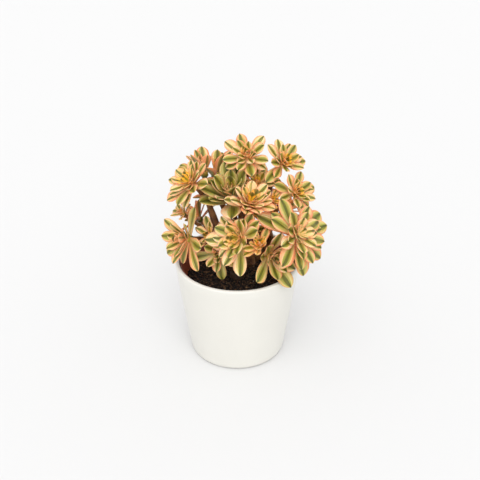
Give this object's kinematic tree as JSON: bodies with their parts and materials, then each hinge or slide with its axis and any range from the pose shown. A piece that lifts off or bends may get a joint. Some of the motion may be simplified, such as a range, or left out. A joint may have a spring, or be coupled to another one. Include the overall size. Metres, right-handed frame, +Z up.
{
  "type": "potted aeonium",
  "caption": "Branching variegated succulent with pointed leaf rosettes, rooted in soil in a nursery pot that stands inside a plain tapered white cover pot.",
  "frame": {"origin": "centre of the cover pot's flat underside", "axes": "+Z up the pot's axis, -Y towards the side that the plant faces, +X to that side's right"},
  "size_m": [0.1644, 0.1393, 0.2377],
  "materials": {
    "glazed_white": "satin white glazed ceramic",
    "brown_plastic": "moulded, slightly rough",
    "peat_soil": "loose moist peat",
    "stem_bark": "rough bark",
    "variegated_leaf": "waxy satin, green centre, cream bands and pink margins",
    "young_leaf": "waxy satin, golden yellow with pink margins"
  },
  "bodies": {
    "root": {"cover_pot": "glazed_white", "nursery_pot": "brown_plastic", "soil": "peat_soil", "woody_stems": "stem_bark", "rosette_01": "variegated_leaf", "rosette_02": "variegated_leaf", "rosette_03": "variegated_leaf", "rosette_04": "variegated_leaf", "rosette_05": "variegated_leaf", "rosette_06": "variegated_leaf", "rosette_07": "variegated_leaf", "rosette_08": "variegated_leaf", "rosette_09": "young_leaf", "rosette_10": "variegated_leaf", "rosette_11": "variegated_leaf", "rosette_12": "variegated_leaf", "rosette_13": "variegated_leaf", "rosette_14": "variegated_leaf", "rosette_15": "young_leaf", "rosette_16": "variegated_leaf", "rosette_17": "young_leaf", "rosette_18": "variegated_leaf", "rosette_19": "variegated_leaf", "rosette_20": "variegated_leaf", "rosette_21": "variegated_leaf", "rosette_22": "variegated_leaf", "rosette_23": "variegated_leaf", "rosette_24": "variegated_leaf", "rosette_25": "variegated_leaf", "rosette_26": "variegated_leaf"}
  },
  "joints": []
}
